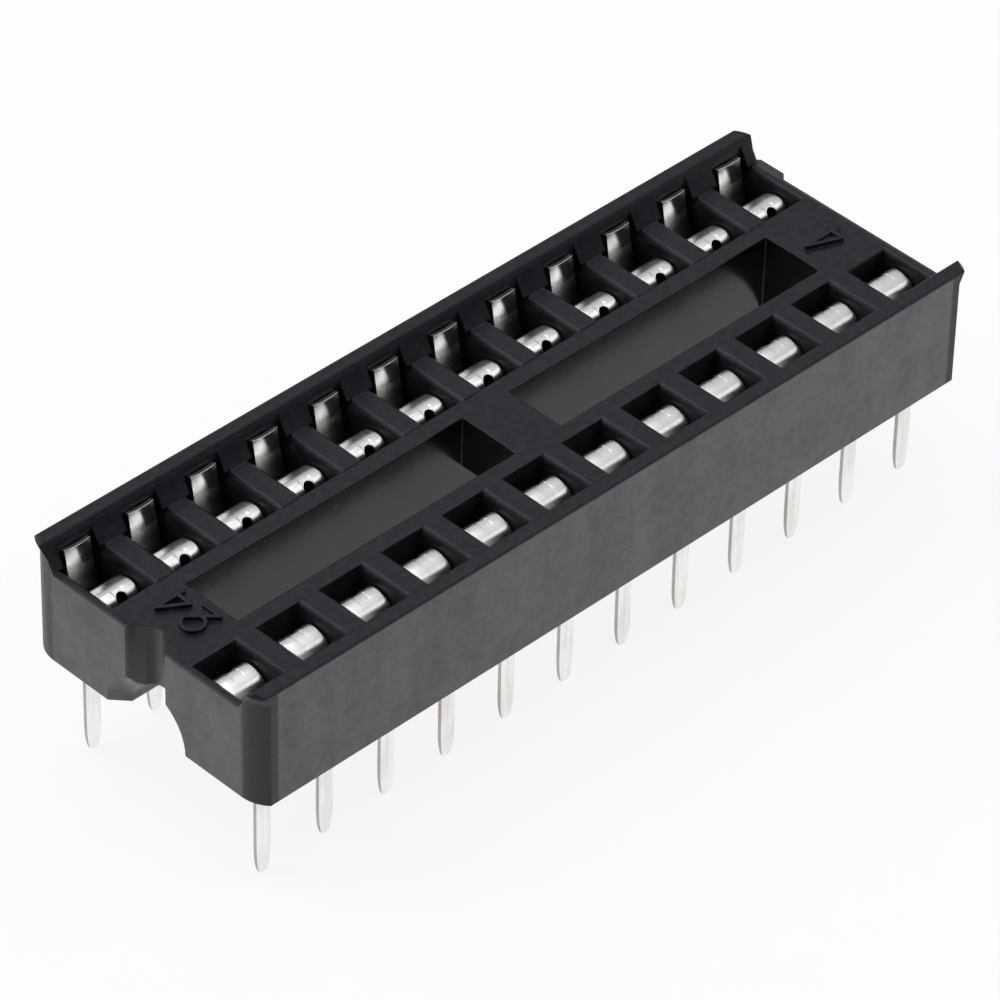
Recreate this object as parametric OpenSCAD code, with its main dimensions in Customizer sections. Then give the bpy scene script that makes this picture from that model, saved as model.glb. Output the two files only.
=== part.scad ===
/* [Layout] */
// Number of contacts in each of the two rows
positions = 12; // [4:1:20]
// Distance between neighbouring contacts in a row
pitch = 2.54; // [2.3:0.01:3.2]
// Distance between the two rows of solder tails
row_spacing = 7.62; // [6.8:0.01:16]

/* [Housing] */
// Height of the deck above the board
deck_height = 3.4; // [3:0.05:5]
// How far the two outer walls rise above the deck
wall_rise = 0.95; // [0.6:0.05:1.6]
// Distance from the last contact of a row to the end face
end_margin = 1.15; // [1.05:0.01:2]
// Thickness of an outer wall beside a pocket
side_wall = 0.61; // [0.4:0.01:1.2]
// Thickness of the web between a pocket and a window
inner_web = 0.59; // [0.4:0.01:0.8]
// Width of the top of each outer wall
wall_top_w = 0.53; // [0.4:0.01:0.6]
// Run of the sloped lead-in on the inner side of each outer wall
wall_slope = 0.5; // [0.2:0.01:0.55]
// Radius that eases the inner top edge of each outer wall
wall_crest_r = 0.12; // [0.05:0.01:0.3]
// Radius that eases the outer top edge of each outer wall
wall_edge_r = 0.15; // [0.05:0.01:0.2]
// How far the ends of each outer wall flare out at the top
end_flare = 0.15; // [0.08:0.01:0.25]
// Height over which they flare
end_flare_h = 0.5; // [0.3:0.01:0.55]
// Size of the ease on top of a flared end
end_ease = 0.1; // [0.05:0.01:0.12]
// Radius of the upright corners, seen from above
corner_r = 1.25; // [0.9:0.01:1.6]
// How far a side face cuts into the round of each upright corner
corner_trim = 0.37; // [0.1:0.01:0.5]
// Length of the ease on the lower corners of the plain end
heel_run = 0.28; // [0.05:0.01:0.6]
// Height of the ease on the lower corners of the plain end
heel_rise = 0.9; // [0.2:0.05:1.5]

/* [Windows] */
// Length of the deck from a window to the end face
end_bar = 2.63; // [2:0.01:4]
// Width of the bar between the two windows
cross_bar = 1.94; // [1:0.01:4]
// Height of the open space under the bar between the windows
cross_bar_gap = 1.5; // [0.5:0.05:2.4]
// Radius that the arch under each end has on the end face
arch_mouth_r = 1.74; // [1.5:0.01:2.2]
// Depth of the flared mouth of each arch
arch_mouth_depth = 0.5; // [0.2:0.01:1.2]
// Radius of the polarity notch in the pin 1 end
notch_r = 0.9; // [0.6:0.01:1.2]
// Distance of the notch's centre outside the end face
notch_offset = 0.2; // [0:0.01:0.4]

/* [Pockets] */
// Width of a pocket along the row
pocket_w = 1.42; // [1.3:0.01:1.6]
// Reach of a pocket from its row line towards the outer wall
pocket_out = 0.66; // [0.6:0.01:0.9]
// Reach of a pocket from its row line towards the windows
pocket_in = 2.04; // [1.85:0.01:2.15]
// Size of the bevel along both sides of the mouth of a pocket
mouth_bevel = 0.22; // [0.05:0.01:0.3]
// How far the ribs between the pockets stand above the deck
rib_rise = 0.04; // [0.01:0.01:0.1]
// Thickness of the floor under a pocket
floor_t = 0.6; // [0.4:0.05:1]
// Height of the narrow lower part of a pocket that grips the contact
grip_h = 0.9; // [0.5:0.05:1]
// Clearance around the contact and its tail in the narrow part
grip_clearance = 0.03; // [0.01:0.01:0.06]

/* [Contacts] */
// Thickness of the contact sheet
sheet = 0.16; // [0.12:0.01:0.22]
// Width of the tall outer leaf
outer_leaf_w = 1.03; // [0.7:0.01:1.15]
// Width of the low inner leaf
inner_leaf_w = 1.25; // [0.9:0.01:1.28]
// Distance between the two legs of the contact at its foot, middle to middle
leg_gap = 0.84; // [0.7:0.01:0.9]
// Gap left between the leaves where they pinch a lead
pinch_gap = 0.14; // [0.06:0.01:0.22]
// Height of the pinch above the pocket floor
pinch_h = 1.55; // [1.3:0.05:1.7]
// Clearance behind the top of the outer leaf
back_clearance = 0.09; // [0.05:0.01:0.15]
// Clearance between the tip of the inner leaf and the pocket
tip_clearance = 0.52; // [0.3:0.01:0.6]
// How far below the deck the outer leaf turns upright
flare_drop = 0.65; // [0.4:0.01:0.8]
// How far the upright part of the outer leaf leans out towards the wall
leaf_lean = 0.2; // [0.05:0.01:0.25]
// How far the outer leaf's top stays below the wall top
outer_leaf_drop = 0.49; // [0.2:0.01:0.6]
// How far the crest of the inner leaf stays below the deck
inner_leaf_drop = 0.24; // [0.1:0.01:0.4]
// Distance from the inner leaf's leg to where its crest begins
shoulder_run = 0.26; // [0.15:0.01:0.35]
// How far its shoulder stays below the crest
shoulder_drop = 0.12; // [0.03:0.01:0.16]
// How far the crest falls again towards the lip
crest_crown = 0.03; // [0.01:0.01:0.06]
// How far the inner leaf falls from its crest to its tip
tip_fall = 0.32; // [0.26:0.01:0.4]
// How far the turned-down lip of the inner leaf leans from the upright
lip_lean = 0.1; // [0:0.01:0.2]
// Radius of the bends in the sheet, to its middle
bend_r = 0.24; // [0.2:0.01:0.3]
// Width of the notch in the tip of the inner leaf
tip_notch_w = 0.4; // [0.2:0.01:0.5]
// How far that notch reaches back from the lip
tip_notch_reach = 0.12; // [0.05:0.01:0.3]

/* [Solder tails] */
// Length of a tail below the housing
tail_length = 3.95; // [2.5:0.05:5]
// Width of a tail along the row
tail_w = 0.56; // [0.4:0.01:0.7]
// Thickness of a tail across the row
tail_t = 0.2; // [0.18:0.01:0.3]
// Length of the tapered end of a tail
tail_taper = 1.1; // [0.6:0.05:1.6]
// Width of the blunt end of a tail
tail_end_w = 0.2; // [0.12:0.01:0.3]
// Thickness of the blunt end of a tail
tail_end_t = 0.12; // [0.1:0.01:0.16]
// Width of the crease that runs down both faces of a tail
crease_w = 0.12; // [0.06:0.01:0.2]
// Depth of the crease
crease_d = 0.04; // [0.02:0.01:0.06]
// Distance from the start of the taper up to the end of the crease
crease_rise = 0.2; // [0:0.05:0.6]
// Size of the bevel around the blunt end of a tail
tail_bevel = 0.03; // [0.02:0.01:0.04]

/* [Mould marks] */
// Height of the raised numerals
numeral_h = 1.14; // [0.6:0.01:1.4]
// Width of one numeral
numeral_w = 0.74; // [0.4:0.01:0.9]
// Gap between two numerals
numeral_gap = 0.3; // [0.1:0.01:0.4]
// Distance of the numerals from the window
numeral_margin = 0.34; // [0.2:0.01:0.6]
// Sideways shift of the pair of numerals
numeral_shift = 0.08; // [0:0.01:0.2]
// Distance of the numeral on the plain end from its window
mark_margin = 0.48; // [0.2:0.01:0.6]
// Height of the numeral on the plain end
mark_h = 1.5; // [0.6:0.01:1.55]
// Width of the numeral on the plain end
mark_w = 0.62; // [0.3:0.01:0.9]
// Width of the numerals' strokes
stroke_w = 0.12; // [0.06:0.01:0.16]
// Height of the numerals above the deck
stroke_rise = 0.16; // [0.05:0.01:0.25]
// Thickness of the gate mark left on the plain end
gate_t = 0.24; // [0.05:0.01:0.4]
// Width of the gate mark
gate_w = 1.5; // [0.6:0.05:1.8]
// Height of the gate mark
gate_h = 1.2; // [0.5:0.05:2]
// How far the gate mark runs onto the round of the corner
gate_overrun = 0.2; // [0:0.01:0.3]
// How deep the gate mark is rooted in the end face
gate_root = 0.08; // [0.06:0.01:0.2]

/* [Hidden] */
PER_ROW = round(positions);
CONTACTS = 2 * PER_ROW;
FOUR_CROSSING = 0.78;
$fn = 48;
eps = 0.01;

// Housing sizes that follow from the ones above
wall_top = deck_height + wall_rise;
half_length = (PER_ROW - 1) * pitch / 2 + end_margin;
row_y = row_spacing / 2;
half_width = row_y + pocket_out + side_wall;
rib_top = deck_height + rib_rise;
window_y = row_y - pocket_in - inner_web;
window_end = half_length - end_bar;
slope_top_y = half_width - wall_top_w;
slope_foot_y = slope_top_y - wall_slope;
corner_y = half_width + corner_trim - corner_r;

// Contact sizes: offsets are from the row line, positive towards the outer wall
foot_z = floor_t + sheet / 2;
crease_z = -tail_length + tail_taper + crease_rise;
leg = leg_gap / 2;
pinch = (pinch_gap + sheet) / 2;
pinch_z = floor_t + pinch_h;
grip_top = floor_t + grip_h;
outer_leaf_s = pocket_out - back_clearance - sheet / 2;
outer_leaf_top = wall_top - outer_leaf_drop;
crest_z = deck_height - inner_leaf_drop - sheet / 2;
tip_s = -(pocket_in - tip_clearance);
lip_s = tip_s + lip_lean;
shoulder_s = -leg - shoulder_run;
notch_top_s = lip_s + tip_notch_reach;
flare_z = deck_height - flare_drop;

housing_colour = [0.17, 0.17, 0.19];
contact_colour = [0.78, 0.78, 0.76];

function contact_name(n) = str("contact_", n < 10 ? "0" : "", n);

// Contact n stands at this place: 1 to PER_ROW run from the notched end along
// the near row, and the rest run the same way along the far row.
function contact_x(n) = ((n - 1) % PER_ROW - (PER_ROW - 1) / 2) * pitch;
function is_far(n) = n > PER_ROW;

// A line through points with each inner corner replaced by an arc of radius r
function unit(v) = v / norm(v);
function bend_points(a, b, c, r) =
    let (u = unit(a - b), w = unit(c - b), half = acos(u * w) / 2,
         reach = r / tan(half), centre = b + unit(u + w) * r / sin(half),
         start = b + u * reach - centre, turn = 180 - 2 * half,
         side = u[0] * w[1] - u[1] * w[0] > 0 ? -1 : 1, steps = max(2, ceil(turn / 15)))
    [for (i = [0 : steps])
        let (t = side * turn * i / steps)
        centre + [start[0] * cos(t) - start[1] * sin(t), start[0] * sin(t) + start[1] * cos(t)]];
function bent_line(points, r) =
    let (last = len(points) - 1)
    concat([points[0]],
           [for (i = [1 : last - 1]) each bend_points(points[i - 1], points[i], points[i + 1], r)],
           [points[last]]);

// One side of a strip, offset to the left of its line, and the strip's whole outline
function strip_side(line, offset) =
    let (last = len(line) - 1)
    [for (i = [0 : last])
        let (ahead = min(i, last - 1), behind = max(i - 1, 0),
             along = unit(unit(line[ahead + 1] - line[ahead]) + unit(line[behind + 1] - line[behind])))
        line[i] + [-along[1], along[0]] * offset];
function strip_outline(line, t) =
    let (left = strip_side(line, t / 2), right = strip_side(line, -t / 2))
    concat(left, [for (i = [len(right) - 1 : -1 : 0]) right[i]]);

// Stands a profile drawn in the Y-Z plane across x, w wide
module across(w) {
    rotate([90, 0, 90]) translate([0, 0, -w / 2]) linear_extrude(w) children();
}

// A box given by its middle in x, and its y and z spans
module slab(w, y0, y1, z0, z1) {
    translate([-w / 2, y0, z0]) cube([w, y1 - y0, z1 - z0]);
}

// Half of the housing's cross-section: web, deck and sloped outer wall
module half_section() {
    crest = [for (a = [90 : 15 : 150])
        [slope_top_y + wall_crest_r * (1 + cos(a)), wall_top - wall_crest_r * (1 - sin(a))]];
    edge = [for (a = [0 : 15 : 90])
        [half_width - wall_edge_r * (1 - cos(a)), wall_top - wall_edge_r * (1 - sin(a))]];
    polygon(concat([[0, 0], [half_width, 0]], edge, crest, [[slope_foot_y, deck_height], [0, deck_height]]));
}

// One upright corner block of the housing to be cut away outside its round
module corner_waste() {
    difference() {
        translate([half_length - corner_r, corner_y, -eps])
            cube([corner_r + 1, corner_r + 1, wall_top + 2 * eps]);
        translate([half_length - corner_r, corner_y, -2 * eps])
            cylinder(r = corner_r, h = wall_top + 4 * eps);
    }
}

// The flared top of one wall's end: two cones on the corner's centre, kept to the wall
module wall_end() {
    intersection() {
        across(2 * (half_length + end_flare)) half_section();
        translate([half_length - corner_r, corner_y, wall_top - end_flare_h]) {
            cylinder(r1 = corner_r, r2 = corner_r + end_flare, h = end_flare_h - end_ease);
            translate([0, 0, end_flare_h - end_ease])
                cylinder(r1 = corner_r + end_flare, r2 = corner_r + end_flare - end_ease, h = end_ease);
        }
    }
}

// The arch under one end, with its flared mouth on the end face
module end_arch() {
    translate([half_length, 0, 0]) rotate([0, -90, 0]) {
        translate([0, 0, -eps]) cylinder(r = window_y, h = end_bar + 2 * eps);
        translate([0, 0, -eps])
            cylinder(r1 = arch_mouth_r, r2 = window_y, h = arch_mouth_depth + eps);
    }
}

// The pocket of one contact: a bevelled mouth, a wide upper part, a close-fitting
// lower part and a slot for the tail. Its row line is x = 0, y = 0.
module pocket() {
    mouth_z = rib_top - mouth_bevel;
    half_mouth = pocket_w / 2 + mouth_bevel;
    rotate([90, 0, 0]) translate([0, 0, -pocket_out]) linear_extrude(pocket_in + pocket_out)
        polygon([[-pocket_w / 2, mouth_z], [pocket_w / 2, mouth_z],
                 [half_mouth, rib_top], [half_mouth, rib_top + eps],
                 [-half_mouth, rib_top + eps], [-half_mouth, rib_top]]);
    slab(pocket_w, -pocket_in, pocket_out, grip_top, wall_top + eps);
    grip = leg + sheet / 2 + grip_clearance;
    slab(inner_leaf_w + 2 * grip_clearance, -grip, grip, floor_t, grip_top + eps);
    slab(tail_w + 2 * grip_clearance, -tail_t / 2 - grip_clearance, tail_t / 2 + grip_clearance,
         -eps, floor_t + eps);
}

// A raised stroke between two points of the deck
module stroke(a, b) {
    d = b - a;
    translate([a[0], a[1], -eps]) {
        rotate([0, 0, atan2(d[1], d[0])]) translate([0, -stroke_w / 2, 0])
            cube([norm(d), stroke_w, stroke_rise + eps]);
        cylinder(d = stroke_w, h = stroke_rise + eps);
        translate([d[0], d[1], 0]) cylinder(d = stroke_w, h = stroke_rise + eps);
    }
}

// The numerals lie with their tops towards -x and read along +y
module numeral_four(h, w) {
    stem = w * FOUR_CROSSING;
    bar = h * FOUR_CROSSING;
    stroke([0, stem], [h, stem]);
    stroke([0, stem], [bar, 0]);
    stroke([bar, 0], [bar, w]);
}

module numeral_two(h, w) {
    r = w / 2;
    translate([r, r, -eps]) difference() {
        cylinder(r = r + stroke_w / 2, h = stroke_rise + eps);
        translate([0, 0, -eps]) cylinder(r = r - stroke_w / 2, h = stroke_rise + 3 * eps);
        rotate([0, 0, -90]) translate([-2 * r, 0, -2 * eps]) cube([2 * r, 2 * r, 1]);
    }
    stroke([r, 2 * r], [h, 0]);
    stroke([h, 0], [h, w]);
}

module numerals() {
    x0 = -window_end - numeral_margin - numeral_h;
    two_y = numeral_shift - numeral_gap / 2 - numeral_w;
    translate([x0, two_y, deck_height]) numeral_two(numeral_h, numeral_w);
    translate([x0, two_y + numeral_w + numeral_gap, deck_height]) numeral_four(numeral_h, numeral_w);
    translate([window_end + mark_margin, -mark_w, deck_height]) numeral_four(mark_h, mark_w);
}

// The mark where the plastic was fed in, on the plain end beside the far wall
module gate_mark() {
    translate([half_length, corner_y + gate_overrun - gate_w, deck_height - gate_h])
        linear_extrude(gate_h)
            polygon([[-gate_root, 0], [0, 0], [gate_t, gate_t], [gate_t, gate_w - gate_t],
                     [0, gate_w], [-gate_root, gate_w]]);
}

// The housing before anything is cut through it: walls, deck and ribs, with round
// upright corners and flared wall ends
module block() {
    difference() {
        union() {
            across(2 * half_length) half_section();
            across(2 * half_length) mirror([1, 0]) half_section();
            for (s = [0, 1]) mirror([0, s, 0])
                slab((PER_ROW - 1) * pitch, row_y - pocket_in, slope_top_y, floor_t, rib_top);
        }
        for (sx = [0, 1], sy = [0, 1]) mirror([sx, 0, 0]) mirror([0, sy, 0]) corner_waste();
    }
    for (sx = [0, 1], sy = [0, 1]) mirror([sx, 0, 0]) mirror([0, sy, 0]) wall_end();
}

module housing() {
    color(housing_colour) {
        difference() {
            block();
            // open trough between the two rows, bridged by the bars
            for (s = [-1, 1])
                translate([s * (window_end + cross_bar / 2) / 2, 0, 0])
                    slab(window_end - cross_bar / 2, -window_y, window_y, -eps, deck_height + eps);
            slab(cross_bar + 2 * eps, -window_y, window_y, -eps, cross_bar_gap);
            for (s = [0, 1]) mirror([s, 0, 0]) end_arch();
            translate([-half_length - notch_offset, 0, -eps])
                cylinder(r = notch_r, h = deck_height + 2 * eps);
            // eased lower corners of the plain end
            rotate([90, 0, 0]) translate([0, 0, -half_width - eps]) linear_extrude(2 * (half_width + eps))
                polygon([[half_length + eps, -eps], [half_length + eps, heel_rise],
                         [half_length, heel_rise], [half_length - heel_run, 0],
                         [half_length - heel_run, -eps]]);
            for (n = [1 : CONTACTS])
                translate([contact_x(n), 0, 0]) mirror([0, is_far(n) ? 0 : 1, 0])
                    translate([0, row_y, 0]) pocket();
        }
        numerals();
        gate_mark();
    }
}

// One stamped contact with its row line at x = 0, y = 0: the two leaves rise from
// a folded foot, pinch together and part again, and the tail hangs below
module contact() {
    outer_line = bent_line([[0, foot_z], [leg, foot_z], [leg, grip_top], [pinch, pinch_z],
                            [outer_leaf_s - leaf_lean, flare_z], [outer_leaf_s, outer_leaf_top]], bend_r);
    inner_line = bent_line([[0, foot_z], [-leg, foot_z], [-leg, grip_top], [-pinch, pinch_z],
                            [shoulder_s, crest_z - shoulder_drop], [(shoulder_s + lip_s) / 2, crest_z],
                            [lip_s, crest_z - crest_crown], [tip_s, crest_z - tip_fall]], bend_r);
    difference() {
        union() {
            across(outer_leaf_w) polygon(strip_outline(outer_line, sheet));
            across(inner_leaf_w) polygon(strip_outline(inner_line, sheet));
        }
        // notch through the bend of the lip, open at the tip
        translate([0, notch_top_s, crest_z]) rotate([45, 0, 0]) translate([0, -tip_notch_w / 2, -bend_r]) {
            cylinder(d = tip_notch_w, h = 3 * bend_r);
            translate([-tip_notch_w / 2, -1, 0]) cube([tip_notch_w, 1, 3 * bend_r]);
        }
    }
    tail();
}

// The tail: a blade with a crease down each face and a tapered blunt end
module tail() {
    difference() {
        intersection() {
            across(tail_w) tail_outline(tail_t, tail_end_t);
            rotate([0, 0, 90]) across(tail_t) tail_outline(tail_w, tail_end_w);
        }
        for (s = [0, 1]) mirror([0, s, 0])
            translate([0, tail_t / 2, crease_z]) linear_extrude(foot_z - crease_z + eps)
                polygon([[-crease_w / 2, 0], [0, -crease_d], [crease_w / 2, 0], [0, crease_d]]);
    }
}

// A tail seen from one side: parallel, then narrowing in a bow to a blunt end
module tail_outline(w, end_w) {
    steps = 6;
    bow_end = -tail_length + tail_taper;
    bow = [for (i = [0 : steps])
        let (a = 90 * i / steps)
        [end_w / 2 + (w - end_w) / 2 * sin(a), bow_end - (tail_taper - tail_bevel) * cos(a)]];
    right = concat([[end_w / 2 - tail_bevel, -tail_length]], bow, [[w / 2, foot_z]]);
    polygon(concat(right, [for (i = [len(right) - 1 : -1 : 0]) [-right[i][0], right[i][1]]]));
}

module placed_contact(n) {
    color(contact_colour)
        translate([contact_x(n), 0, 0]) mirror([0, is_far(n) ? 0 : 1, 0]) translate([0, row_y, 0]) contact();
}

housing();
for (n = [1 : CONTACTS])
    placed_contact(n);
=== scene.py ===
import bpy
import bmesh
import numpy as np
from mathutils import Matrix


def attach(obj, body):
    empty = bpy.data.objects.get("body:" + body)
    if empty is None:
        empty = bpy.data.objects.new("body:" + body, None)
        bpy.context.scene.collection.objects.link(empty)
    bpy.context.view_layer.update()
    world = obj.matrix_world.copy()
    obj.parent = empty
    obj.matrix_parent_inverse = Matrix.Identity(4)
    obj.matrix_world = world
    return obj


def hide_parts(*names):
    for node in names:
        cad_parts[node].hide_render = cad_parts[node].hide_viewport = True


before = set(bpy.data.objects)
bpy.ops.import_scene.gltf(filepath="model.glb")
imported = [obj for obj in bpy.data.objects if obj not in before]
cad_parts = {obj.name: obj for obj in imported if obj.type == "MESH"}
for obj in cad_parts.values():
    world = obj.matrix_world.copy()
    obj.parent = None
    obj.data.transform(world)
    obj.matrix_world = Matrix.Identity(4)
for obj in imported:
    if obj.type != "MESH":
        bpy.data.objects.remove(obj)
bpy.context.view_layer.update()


# ---------------------------------------------------------------------------
# Camera. A long lens from above the notched end and the near row, as for a
# catalogue view. It comes first because everything below is judged through it.
# ---------------------------------------------------------------------------
camera = bpy.data.objects.new("catalogue_camera", bpy.data.cameras.new("catalogue_camera"))
bpy.context.scene.collection.objects.link(camera)
camera.data.lens = 232.13
camera.data.sensor_width = 36.0
camera.data.clip_start = 0.01
camera.data.clip_end = 10.0
camera.location = (-0.109643, -0.108422, 0.127746)
camera.rotation_euler = np.radians((50.4098, -1.1105, -44.2918))
bpy.context.scene.camera = camera


# ---------------------------------------------------------------------------
# Housing. One moulding in black glass-filled polyester, ejected from a steel
# tool: fine spark-eroded grain, soft edges, a few flow streaks near the gate.
# The solid's own shape is kept, with its facets merged so that rounds shade round.
# ---------------------------------------------------------------------------
MM = 0.001


class Wire:
    """A shader socket that Python operators can work on. Each operator on values
    adds one Math node, and numbers alone stay numbers."""

    def __init__(self, tree, socket):
        self.tree, self.socket = tree, socket

    def math(self, operation, *values):
        node = self.tree.nodes.new("ShaderNodeMath")
        node.operation = operation
        for port, value in zip(node.inputs, values):
            plug(self.tree, port, value)
        return Wire(self.tree, node.outputs[0])

    def __add__(self, other): return self.math("ADD", self, other)
    def __radd__(self, other): return self.math("ADD", other, self)
    def __sub__(self, other): return self.math("SUBTRACT", self, other)
    def __rsub__(self, other): return self.math("SUBTRACT", other, self)
    def __mul__(self, other): return self.math("MULTIPLY", self, other)
    def __rmul__(self, other): return self.math("MULTIPLY", other, self)
    def __truediv__(self, other): return self.math("DIVIDE", self, other)
    def __abs__(self): return self.math("ABSOLUTE", self)

    def held(self, low=0.0, high=1.0):
        """The value kept between low and high."""
        return self.math("MINIMUM", self.math("MAXIMUM", self, low), high)

    def step(self, start, end):
        """0 below start, 1 above end, and a straight ramp between them."""
        return ((self - start) / (end - start)).held()


def plug(tree, port, value):
    """Joins a wire to a socket, or sets the socket's own value."""
    if isinstance(value, Wire):
        tree.links.new(value.socket, port)
    else:
        port.default_value = value


class Finish:
    """One surface finish: a material whose nodes are added by name."""

    def __init__(self, name):
        self.material = bpy.data.materials.new(name)
        self.material.use_nodes = True
        self.tree = self.material.node_tree
        self.tree.nodes.clear()
        self.place = self.add("TexCoord", out="Object")

    def add(self, kind, settings=None, out=0, **sockets):
        """Adds the node ShaderNode<kind>: its settings first, then its sockets."""
        node = self.tree.nodes.new("ShaderNode" + kind)
        for key, value in (settings or {}).items():
            setattr(node, key, value)
        for key, value in sockets.items():
            plug(self.tree, node.inputs[key.replace("_", " ")], value)
        return Wire(self.tree, node.outputs[out]) if node.outputs else node

    def noise(self, scale, detail=2.0, roughness=0.5, stretch=(1.0, 1.0, 1.0)):
        """Noise of about 1 / scale metres across, stretched along the axes."""
        place = self.add("Mapping", Vector=self.place, Scale=stretch)
        return self.add("TexNoise", Vector=place, Scale=scale, Detail=detail, Roughness=roughness)

    def blend(self, factor, a, b):
        """Colour a where factor is 0 and b where it is 1."""
        node = self.tree.nodes.new("ShaderNodeMix")
        node.data_type = "RGBA"
        plug(self.tree, node.inputs[0], factor)
        plug(self.tree, node.inputs[6], a)
        plug(self.tree, node.inputs[7], b)
        return Wire(self.tree, node.outputs[2])

    def close(self, **sockets):
        """The surface itself, and the output."""
        surface = self.add("BsdfPrincipled", **sockets)
        self.add("OutputMaterial", Surface=surface)
        return self.material


def split_place(finish):
    """The x, y and z of a point, in metres, as three wires."""
    node = finish.tree.nodes.new("ShaderNodeSeparateXYZ")
    finish.tree.links.new(finish.place.socket, node.inputs[0])
    return [Wire(finish.tree, port) for port in node.outputs]


def black_moulding():
    """The tool's faces differ: eroded and dull on top and in its rounds, drawn to a faint sheen on the flat
    sides, and polished in the windows, where two cores met. The top faces are painted darker and bluer than
    the sides, a painted shade and bluish reflection, and the windows and pockets are painted near black as
    shade."""
    finish = Finish("black_moulded_polyester")
    x, y, z = split_place(finish)
    across, along = abs(y), abs(x)
    above = z.step(3.36 * MM, 3.38 * MM)
    past_web = across.step(1.74 * MM, 1.76 * MM)
    mouth = z.step(3.18 * MM, 3.20 * MM) * past_web
    within_walls = 1 - across.step(4.60 * MM, 4.62 * MM)
    within_ends = 1 - along.step(15.0 * MM, 15.05 * MM)
    wall_top = z.step(4.18 * MM, 4.25 * MM)
    top = ((above + mouth).held() * within_walls * within_ends + wall_top).held()
    between_webs = 1 - across.step(1.22 * MM, 1.26 * MM)
    between_end_bars = 1 - along.step(12.52 * MM, 12.56 * MM)
    window = (1 - above) * between_webs * between_end_bars
    pocket_back = 1 - across.step(4.50 * MM, 4.52 * MM)
    pocket_ends = 1 - along.step(14.7 * MM, 14.72 * MM)
    pocket = (1 - mouth) * (1 - above) * past_web * pocket_back * pocket_ends
    corner = along.step(14.40 * MM, 14.52 * MM) * across.step(4.12 * MM, 4.32 * MM)
    notch_deep = (0 - x).step(14.36 * MM, 14.40 * MM)
    notch_wide = 1 - across.step(0.85 * MM, 0.88 * MM)
    notch_far_side = y.step(0.05 * MM, 0.35 * MM)
    notch = notch_deep * notch_wide * notch_far_side
    flat_side = (1 - top) * (1 - window) * (1 - pocket) * (1 - corner) * (1 - notch)
    grain = finish.noise(9000.0, detail=3.0, roughness=0.6)
    mottle = finish.noise(3200.0, detail=4.0, roughness=0.65)
    cloud = finish.noise(700.0, detail=5.0, roughness=0.65)
    streaks = finish.noise(1500.0, detail=3.0, stretch=(1.0, 1.0, 0.10))
    bloom = (cloud * 0.4 + streaks * 0.25 + mottle * 0.35).step(0.40, 0.60)
    sides = finish.blend(bloom, (0.0025, 0.0025, 0.0028, 1), (0.0075, 0.0075, 0.0080, 1))
    # Top faces: real mottle, plus a painted shade and bluish reflection that make them darker and bluer than
    # the sides.
    dull = finish.blend(mottle.step(0.38, 0.64), (0.0006, 0.0006, 0.0030, 1), (0.0075, 0.0078, 0.0150, 1))
    colour = finish.blend(top, sides, dull)
    # Painted shade: the windows and pockets are darkened towards near black.
    colour = finish.blend((window + pocket).held() * 0.7, colour, (0.001, 0.001, 0.001, 1))
    specks = grain.step(0.66, 0.78) * (1 - window) * (1 - pocket)
    colour = finish.blend(specks * 0.4, colour, (0.05, 0.05, 0.055, 1))
    rough = 0.34 + 0.08 * cloud + 0.06 * grain - 0.20 * window + 0.05 * top + 0.2 * pocket
    sheen = flat_side * (0.50 + 0.35 * bloom)
    edge = finish.add("Bevel", {"samples": 6}, Radius=0.00007)
    lumps = finish.add("Bump", Strength=0.5, Distance=0.00002, Normal=edge,
                       Height=(grain * 0.5 + mottle) * (1 - 0.85 * window))
    waves = finish.add("Bump", Strength=0.3, Distance=0.00005, Normal=lumps,
                       Height=(streaks * 0.6 + cloud) * (1 - 0.7 * window))
    return finish.close(Base_Color=colour, Roughness=rough, IOR=1.42, Normal=waves,
                        Coat_Weight=sheen, Coat_Roughness=0.3)


def merged_copy(node, name):
    """A copy of a solid's triangles with their shared corners joined and each flat
    area made one face. An edge is sharp past 30 degrees, and rounds shade round."""
    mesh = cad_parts[node].data.copy()
    mesh.name = name
    solid = bmesh.new()
    solid.from_mesh(mesh)
    bmesh.ops.remove_doubles(solid, verts=solid.verts, dist=0.001 * MM)
    bmesh.ops.dissolve_limit(solid, verts=solid.verts, edges=solid.edges, angle_limit=np.radians(0.5))
    solid.to_mesh(mesh)
    solid.free()
    mesh.shade_smooth()
    mesh.set_sharp_from_angle(angle=np.radians(30))
    piece = bpy.data.objects.new(name, mesh)
    bpy.context.scene.collection.objects.link(piece)
    even = piece.modifiers.new("even shading", "WEIGHTED_NORMAL")
    even.mode = "FACE_AREA_WITH_ANGLE"
    even.weight = 80
    even.keep_sharp = True
    return piece


housing = merged_copy("housing", "moulded_housing")
housing.data.materials.clear()
housing.data.materials.append(black_moulding())
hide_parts("housing")
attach(housing, "root")


# ---------------------------------------------------------------------------
# Contacts. Each is blanked from thin bronze strip, folded into two leaves that
# pinch on the row line, and tin-plated, so only the cut edges show bronze.
# ---------------------------------------------------------------------------
PER_ROW, PITCH, ROW_Y = 12, 2.54, 3.81
SHEET, BEND = 0.16, 0.24
TALL_LEAF, LOW_LEAF = 1.03, 1.25
# A pair is where a change starts and ends along the strip, from the tall leaf's top.
BOW, BOW_FADE = 0.06, (0.9, 1.7)
WIDEN, CROWN = (4.2, 5.0), 0.012
NOTCH, NOTCH_DEPTH, NOTCH_ROWS = 0.40, 0.36, 1.1
LEAF_LINE = np.array([
    (0.49, 3.86), (0.29, 2.75), (0.15, 2.15), (0.42, 1.5), (0.42, 0.68), (-0.42, 0.68),
    (-0.42, 1.5), (-0.15, 2.15), (-0.68, 2.95), (-1.08, 3.07), (-1.42, 3.05), (-1.52, 2.76)])
LEAF_BENDS = np.array([BEND] * 7 + [0.34, 0.7, 0.34])


def ramp(distance, start, end):
    """0 before start, 1 past end, and a straight ramp between them."""
    return np.clip((distance - start) / (end - start), 0, 1)


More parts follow.
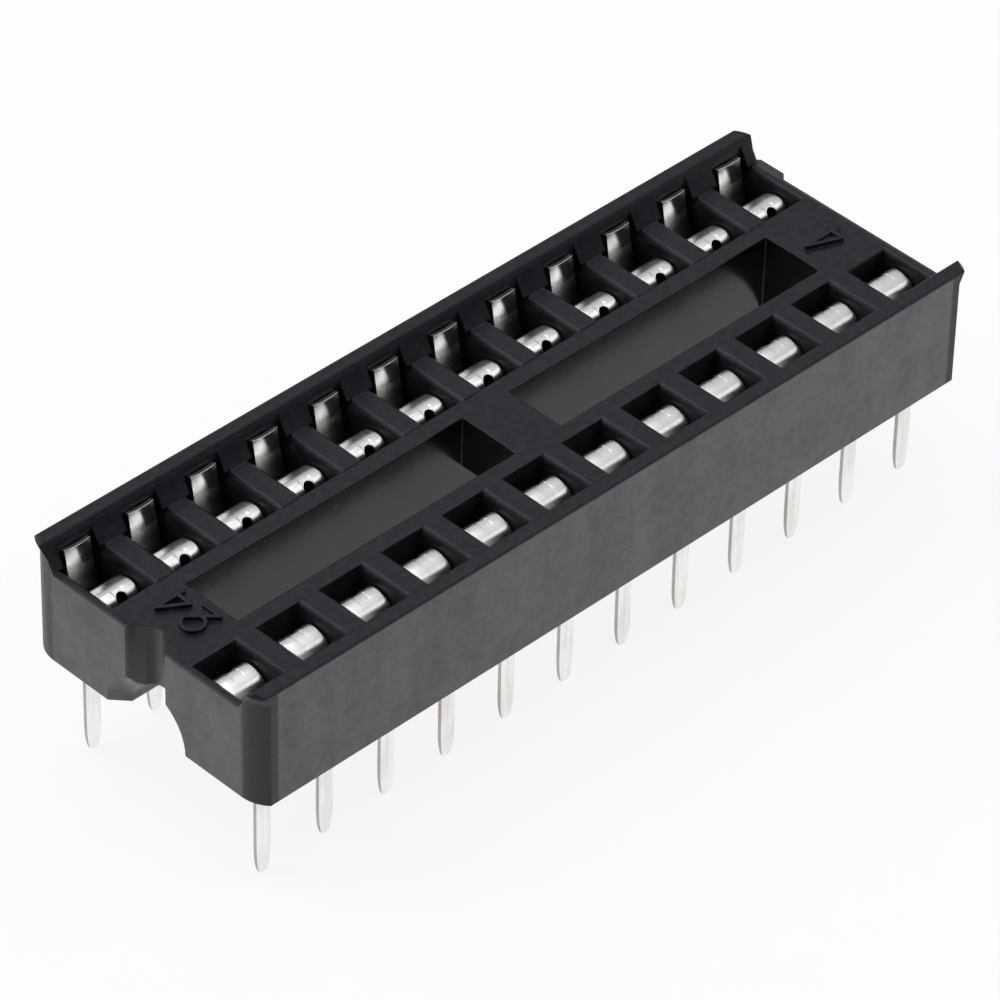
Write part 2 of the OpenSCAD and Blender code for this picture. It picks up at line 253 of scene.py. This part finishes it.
def bent_line(corners, radius, samples=10):
    """The folded line of the strip. At each inner corner the line leaves its side
    radius / tan(half the angle) early and turns on an arc about a centre that lies
    radius / sin(half the angle) along the bisector."""
    before, here, after = corners[:-2], corners[1:-1], corners[2:]
    a = (before - here) / np.linalg.norm(before - here, axis=1, keepdims=True)
    c = (after - here) / np.linalg.norm(after - here, axis=1, keepdims=True)
    half = np.arccos(np.clip((a * c).sum(1), -1, 1)) / 2
    middle = (a + c) / np.linalg.norm(a + c, axis=1, keepdims=True)
    centre = here + middle * (radius / np.sin(half))[:, None]
    start = here + a * (radius / np.tan(half))[:, None] - centre
    side = np.where(a[:, 0] * c[:, 1] - a[:, 1] * c[:, 0] > 0, -1.0, 1.0)
    turn = (side * (np.pi - 2 * half))[:, None] * np.linspace(0, 1, samples)[None, :]
    y = start[:, :1] * np.cos(turn) - start[:, 1:] * np.sin(turn) + centre[:, :1]
    z = start[:, :1] * np.sin(turn) + start[:, 1:] * np.cos(turn) + centre[:, 1:]
    arcs = np.stack([y, z], axis=2).reshape(-1, 2)
    return np.vstack([corners[:1], arcs, corners[-1:]])


def leaf_strip():
    """Vertices, quads and a rim flag for the folded strip. A grid of u across and v
    along follows the folded line. Its width changes from the tall to the low leaf,
    and its last rows stop early where the lip is notched: by the notch's straight
    depth, and the half circle sqrt(r^2 - x^2) beyond it. Front and back lie half a
    sheet either side, and a rim joins them. The sides of the tall leaf bow back by
    bow * (x / half width)^2, and the front's edges ease back by crown * (x / half
    width)^4."""
    line = bent_line(LEAF_LINE, LEAF_BENDS)
    run = np.concatenate([[0], np.cumsum(np.linalg.norm(np.diff(line, axis=0), axis=1))])
    total = run[-1]
    r = NOTCH / 2
    across_half = np.array([0, 0.06, 0.11, 0.15, 0.18, r - 0.002, r + 0.002,
                            0.25, 0.34, 0.44, 0.54, 0.595, 0.625])
    across = np.concatenate([-across_half[:0:-1], across_half])
    along = np.unique(np.concatenate([run, np.linspace(0, total, 60)]))
    inside = np.abs(across) < r
    cut = np.where(inside, NOTCH_DEPTH - r + np.sqrt(np.clip(r ** 2 - across ** 2, 0, None)), 0.0)
    share = ramp(along, total - NOTCH_ROWS, total)
    s = along[None, :] - share[None, :] * cut[:, None]
    width = (TALL_LEAF + (LOW_LEAF - TALL_LEAF) * ramp(s, *WIDEN)) / LOW_LEAF
    x = across[:, None] * width
    y = np.interp(s, run, line[:, 0])
    z = np.interp(s, run, line[:, 1])
    ahead = np.minimum(s + 0.02, total)
    behind = np.maximum(s - 0.02, 0)
    ty = np.interp(ahead, run, line[:, 0]) - np.interp(behind, run, line[:, 0])
    tz = np.interp(ahead, run, line[:, 1]) - np.interp(behind, run, line[:, 1])
    length = np.hypot(ty, tz)
    ny, nz = tz / length, -ty / length
    crown = CROWN * (x / (LOW_LEAF / 2)) ** 4
    bow = BOW * (x / (TALL_LEAF / 2)) ** 2 * (1 - ramp(s, *BOW_FADE))
    y, z = y - ny * bow, z - nz * bow
    front = np.stack([x, y + ny * (SHEET / 2 - crown), z + nz * (SHEET / 2 - crown)], axis=2)
    back = np.stack([x, y - ny * SHEET / 2, z - nz * SHEET / 2], axis=2)
    nu, nv = x.shape
    index = np.arange(nu * nv).reshape(nu, nv)
    quads = np.stack([index[:-1, :-1], index[1:, :-1], index[1:, 1:], index[:-1, 1:]], axis=2).reshape(-1, 4)
    border = np.concatenate([index[:-1, 0], index[-1, :-1], index[:0:-1, -1], index[0, :0:-1]])
    after = np.roll(border, -1)
    rim = np.stack([after, border, border + nu * nv, after + nu * nv], axis=1)
    points = np.vstack([front.reshape(-1, 3), back.reshape(-1, 3)])
    faces = np.vstack([quads, quads[:, ::-1] + nu * nv, rim])
    flag = np.concatenate([np.zeros(2 * len(quads), int), np.ones(len(rim), int)])
    return points, faces, flag


TAIL_LENGTH, TAIL_TOP = 3.95, 0.68
TAIL_W, TAIL_T, TAIL_END_W, TAIL_END_T = 0.56, 0.20, 0.20, 0.12
TAIL_TAPER, TAIL_BEVEL, CREASE_W, CREASE_D = 1.1, 0.03, 0.12, 0.04


def solder_tail():
    """Vertices, quads and a rim flag for the tail. Rings of a squared-off ellipse,
    |x/a|^8 + |y/b|^8 = 1, are stacked from the foot to the tip. Both half sizes follow a
    quarter of a sine over the taper, a V-shaped crease lowers the middle of both faces and
    fades out above the taper, and the last rings close the blunt end."""
    turn = np.linspace(0, 2 * np.pi, 64, endpoint=False)
    c, s = np.cos(turn), np.sin(turn)
    size = (np.abs(c) ** 8 + np.abs(s) ** 8) ** (-1 / 8)
    ease = np.linspace(0, 1, 9)
    taper_z = -TAIL_LENGTH + TAIL_TAPER
    shank = [TAIL_TOP, 0.3, -0.5, -1.2, -2.0,
             taper_z + 0.55, taper_z + 0.35, taper_z + 0.22, taper_z + 0.12]
    taper = taper_z - (TAIL_TAPER - TAIL_BEVEL) * np.sin(ease * np.pi / 2)
    z = np.concatenate([shank, taper, [-TAIL_LENGTH] * 2])
    grow = np.sqrt(np.clip(1 - ((taper_z - z) / (TAIL_TAPER - TAIL_BEVEL)) ** 2, 0, 1))
    grow = np.where(z > taper_z, 1.0, grow)
    a = TAIL_END_W / 2 + (TAIL_W - TAIL_END_W) / 2 * grow
    b = TAIL_END_T / 2 + (TAIL_T - TAIL_END_T) / 2 * grow
    a[-2:] = (TAIL_END_W / 2 - TAIL_BEVEL, 0.0004)
    b[-2:] = (TAIL_END_T / 2 - TAIL_BEVEL, 0.0004)
    x = a[:, None] * (c * size)[None, :]
    y = b[:, None] * (s * size)[None, :]
    groove = np.clip(1 - np.abs(x) / (CREASE_W / 2), 0, 1) * CREASE_D
    fade = ramp(z, taper_z + 0.10, taper_z + 0.22)[:, None]
    y = y - np.sign(s)[None, :] * groove * fade
    points = np.stack([x, y, np.broadcast_to(z[:, None], x.shape)], axis=2)
    sheared = np.abs(c * size) > 0.985
    rings, sides = x.shape
    index = np.arange(rings * sides).reshape(rings, sides)
    beside = np.roll(index, -1, axis=1)
    quads = np.stack([index[:-1], index[1:], beside[1:], beside[:-1]], axis=2).reshape(-1, 4)
    return points.reshape(-1, 3), quads, np.tile(sheared & np.roll(sheared, -1), rings - 1).astype(int)


def tin_plate(name, bronze):
    finish = Finish(name)
    soft = finish.noise(700.0, detail=3.0, roughness=0.6)
    drawn = finish.noise(5200.0, detail=2.0, stretch=(1.0, 0.12, 0.12))
    fine = finish.noise(16000.0, detail=2.0)
    dull = (soft * 0.6 + drawn * 0.4).step(0.40, 0.62)
    colour = finish.blend(dull, (0.86, 0.86, 0.845, 1), (0.74, 0.735, 0.71, 1))
    bare = (soft * 0.5 + fine * 0.5).step(0.50 - 0.16 * bronze, 0.62) * bronze
    colour = finish.blend(bare, colour, (0.50, 0.27, 0.15, 1))
    x, y, z = split_place(finish)
    # Painted shade: the strip down in the pocket, from 0 to about 2.75 to 3.1 mm high, is darkened.
    painted_pocket_shade = (1 - z.step(2.75 * MM, 3.10 * MM)) * z.step(-0.05 * MM, 0.0 * MM)
    colour = finish.blend(painted_pocket_shade * 0.8, colour, (0.16, 0.14, 0.12, 1))
    sheared = (1 - z.step(-0.1 * MM, 0.0 * MM)) * bronze
    colour = finish.blend((sheared * 2.0).held(), colour, (0.22, 0.20, 0.185, 1))
    tall = z.step(3.15 * MM, 3.25 * MM)
    rough = 0.24 + 0.08 * dull + 0.04 * fine + 0.10 * bronze - 0.10 * tall
    edge = finish.add("Bevel", {"samples": 6}, Radius=0.00003)
    lay = finish.add("Bump", Strength=0.15, Distance=0.000003, Height=drawn + fine * 0.4, Normal=edge)
    dents = finish.add("Bump", Strength=0.3, Distance=0.00003, Height=soft, Normal=lay)
    return finish.close(Base_Color=colour, Metallic=1.0, Roughness=rough, Normal=dents)


plate = tin_plate("tin_plate", 0.0)
cut_edge = tin_plate("tin_plate_on_cut_edge", 0.35)

leaf_points, leaf_faces, leaf_rim = leaf_strip()
tail_points, tail_faces, tail_rim = solder_tail()
points = np.vstack([leaf_points, tail_points])
faces = np.vstack([leaf_faces, tail_faces + len(leaf_points)])
rim = np.concatenate([leaf_rim, tail_rim])

for number in range(1, 2 * PER_ROW + 1):
    far = number > PER_ROW
    place = points + (0, ROW_Y, 0)
    if not far:
        place = place * (1, -1, 1)
    place = (place + (((number - 1) % PER_ROW - (PER_ROW - 1) / 2) * PITCH, 0, 0)) * MM
    mesh = bpy.data.meshes.new("contact_%02d_leaves" % number)
    mesh.from_pydata(place, [], (faces if far else faces[:, ::-1]).tolist())
    mesh.materials.append(plate)
    mesh.materials.append(cut_edge)
    mesh.polygons.foreach_set("material_index", rim)
    mesh.shade_smooth()
    mesh.set_sharp_from_angle(angle=np.radians(40))
    contact = bpy.data.objects.new("stamped_contact_%02d" % number, mesh)
    bpy.context.scene.collection.objects.link(contact)
    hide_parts("contact_%02d" % number)
    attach(contact, "root")


# ---------------------------------------------------------------------------
# Table and light. A white sheet under the part, large soft lamps on both sides,
# behind and above, and an even grey room.
# ---------------------------------------------------------------------------
def white_table():
    finish = Finish("white_table")
    grain = finish.noise(900.0, detail=2.0)
    tone = finish.blend(grain.step(0.3, 0.7), (0.86, 0.86, 0.86, 1), (0.89, 0.89, 0.89, 1))
    paper = finish.add("BsdfDiffuse", Color=tone)
    glow = finish.add("Emission", Color=(1, 1, 1, 1), Strength=1.0)
    path = finish.tree.nodes.new("ShaderNodeLightPath")
    seen = Wire(finish.tree, path.outputs["Is Camera Ray"])
    gloss = Wire(finish.tree, path.outputs["Is Glossy Ray"])
    through = Wire(finish.tree, path.outputs["Is Transmission Ray"])
    share = (seen * 0.88 + gloss + through).held()
    surface = finish.add("MixShader", Fac=share)
    mix = surface.socket.node
    plug(finish.tree, mix.inputs[1], paper)
    plug(finish.tree, mix.inputs[2], glow)
    finish.add("OutputMaterial", Surface=surface)
    return finish.material


half = 1.5
table_mesh = bpy.data.meshes.new("table")
grid = np.linspace(-half, half, 13)
gx, gy = np.meshgrid(grid, grid, indexing="ij")
table_points = np.stack([gx, gy, np.full_like(gx, -TAIL_LENGTH * MM)], axis=2).reshape(-1, 3)
cells = np.arange(gx.size).reshape(gx.shape)
table_mesh.from_pydata(table_points, [], np.stack(
    [cells[:-1, :-1], cells[1:, :-1], cells[1:, 1:], cells[:-1, 1:]], axis=2).reshape(-1, 4).tolist())
table_mesh.materials.append(white_table())
table = bpy.data.objects.new("table", table_mesh)
bpy.context.scene.collection.objects.link(table)


def lamp(name, bearing, height, distance, size, glow):
    """A soft rectangular lamp that faces the part from a bearing and a height, both
    in degrees: bearing 0 is +X and 90 is +Y. Its face is as bright as a white sheet
    times glow: the watts are glow * area * pi."""
    light = bpy.data.lights.new(name, "AREA")
    light.shape = "RECTANGLE"
    light.size, light.size_y = size
    light.energy = glow * size[0] * size[1] * np.pi
    holder = bpy.data.objects.new(name, light)
    bpy.context.scene.collection.objects.link(holder)
    b, h = np.radians(bearing), np.radians(height)
    holder.location = np.array((np.cos(b) * np.cos(h), np.sin(b) * np.cos(h), np.sin(h))) * distance
    holder.rotation_euler = (np.pi / 2 - h, 0, b + np.pi / 2)


lamp("lamp_behind", 38, 44, 0.8, (0.9, 0.7), 0.36)
lamp("lamp_left", 122, 42, 0.8, (0.65, 0.55), 2.8)
lamp("lamp_right", -45, 40, 0.8, (0.65, 0.5), 1.1)
lamp("lamp_above", 0, 89, 0.9, (0.9, 0.9), 1.4)

world = bpy.data.worlds.new("grey_room")
world.use_nodes = True
world.node_tree.nodes["Background"].inputs["Color"].default_value = (0.9, 0.93, 1.0, 1)
world.node_tree.nodes["Background"].inputs["Strength"].default_value = 0.25
bpy.context.scene.world = world
bpy.context.scene.view_settings.view_transform = "Standard"
